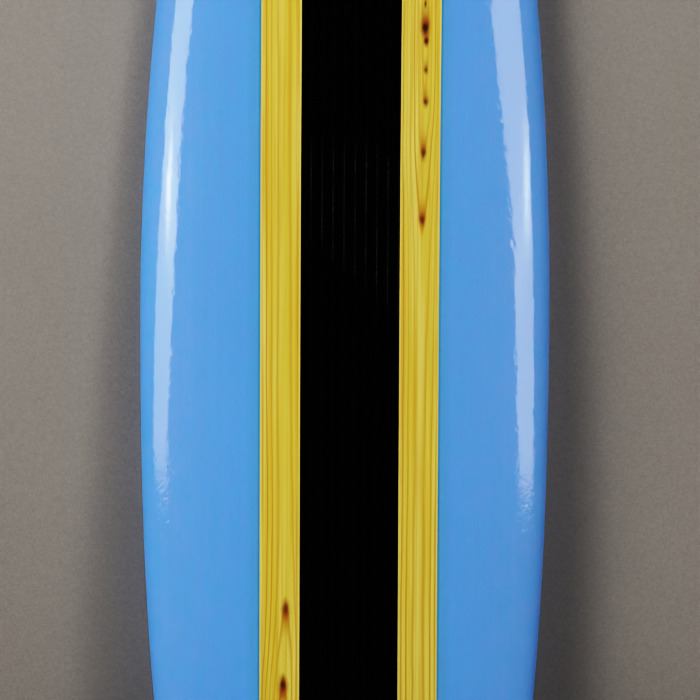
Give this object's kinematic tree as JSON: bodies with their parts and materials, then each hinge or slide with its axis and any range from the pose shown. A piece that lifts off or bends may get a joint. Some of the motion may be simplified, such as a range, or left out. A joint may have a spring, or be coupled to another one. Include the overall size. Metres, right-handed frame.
{
  "type": "surfboard",
  "caption": "Round-nosed funboard surfboard with pine stringers between blue foam rails and a black foam centre, clear gloss skin, removable fins, leash plug and vent.",
  "frame": {"origin": "bottom centre of the box: on the centreline, at the height of the tail's tip, midway in depth between the nose's deck and the centre fin's tip", "axes": "+X across the board to the right seen from the deck side, -Y out of the deck, +Y out of the bottom towards the fins, +Z from the tail to the nose"},
  "size_m": [0.5334, 0.2864, 2.286],
  "materials": {
    "foam_rail_left": "sky-blue sprayed foam under clear gloss resin",
    "foam_rail_right": "sky-blue sprayed foam under clear gloss resin",
    "foam_centre": "black sprayed foam under clear gloss resin",
    "pine_stringer_left": "knotty flat-sawn yellow pine under clear gloss resin",
    "pine_stringer_right": "knotty flat-sawn yellow pine under clear gloss resin",
    "deck_lamination": "glass cloth in clear resin with a thick polished gloss coat, slight orange peel",
    "bottom_lamination": "glass cloth in clear resin with a thick polished gloss coat",
    "centre_fin_box": "moulded black polycarbonate",
    "centre_fin": "black glass-filled nylon, satin",
    "centre_fin_pin": "drawn brass rod",
    "centre_fin_plate": "stainless, brushed",
    "centre_fin_screw": "stainless",
    "side_fin_box_left": "moulded black polycarbonate",
    "side_fin_box_right": "moulded black polycarbonate",
    "side_fin_left": "black glass-filled nylon, satin",
    "side_fin_right": "black glass-filled nylon, satin",
    "side_fin_screw_left": "stainless",
    "side_fin_screw_right": "stainless",
    "leash_plug_cup": "moulded black polycarbonate",
    "leash_plug_bar": "stainless rod",
    "vent_body": "moulded black plastic",
    "vent_screw": "stainless",
    "vent_seal": "black nitrile rubber"
  },
  "bodies": {
    "board": {"foam_rail_left": "foam_rail_left", "pine_stringer_left": "pine_stringer_left", "foam_centre": "foam_centre", "pine_stringer_right": "pine_stringer_right", "foam_rail_right": "foam_rail_right", "deck_lamination": "deck_lamination", "bottom_lamination": "bottom_lamination", "centre_fin_box": "centre_fin_box", "side_fin_box_left": "side_fin_box_left", "side_fin_box_right": "side_fin_box_right", "leash_plug_cup": "leash_plug_cup", "leash_plug_bar": "leash_plug_bar", "vent_body": "vent_body", "vent_seal": "vent_seal"},
    "centre_fin_unit": {"centre_fin": "centre_fin", "centre_fin_pin": "centre_fin_pin", "centre_fin_plate": "centre_fin_plate"},
    "centre_fin_screw": {"centre_fin_screw": "centre_fin_screw"},
    "side_fin_left": {"side_fin_left": "side_fin_left"},
    "side_fin_right": {"side_fin_right": "side_fin_right"},
    "side_fin_screw_left": {"side_fin_screw_left": "side_fin_screw_left"},
    "side_fin_screw_right": {"side_fin_screw_right": "side_fin_screw_right"},
    "vent_screw": {"vent_screw": "vent_screw"}
  },
  "joints": [
    {"name": "centre_fin_slide", "type": "slide", "parent": "board", "child": "centre_fin_unit", "axis": [0, 0.0731, 0.9973], "range_m": [-0.032, 0.032]},
    {"name": "centre_fin_screw_turn", "type": "hinge", "parent": "centre_fin_unit", "child": "centre_fin_screw", "pos_m": [0, -0.03228, 0.34679], "axis": [0, -0.9973, 0.0731], "continuous": true},
    {"name": "side_fin_left_lift", "type": "slide", "parent": "board", "child": "side_fin_left", "axis": [-0.1227, 0.9892, -0.0798], "range_m": [0, 0.02]},
    {"name": "side_fin_right_lift", "type": "slide", "parent": "board", "child": "side_fin_right", "axis": [0.1227, 0.9892, -0.0798], "range_m": [0, 0.02]},
    {"name": "side_fin_screw_left_turn", "type": "hinge", "parent": "board", "child": "side_fin_screw_left", "pos_m": [-0.16288, -0.02964, 0.41969], "axis": [0.05, -0.7608, -0.6471], "continuous": true},
    {"name": "side_fin_screw_right_turn", "type": "hinge", "parent": "board", "child": "side_fin_screw_right", "pos_m": [0.16288, -0.02964, 0.41969], "axis": [-0.05, -0.7608, -0.6471], "continuous": true},
    {"name": "vent_screw_turn", "type": "hinge", "parent": "board", "child": "vent_screw", "pos_m": [0, -0.07971, 0.455], "axis": [0, 1, -0.0065], "continuous": true}
  ]
}
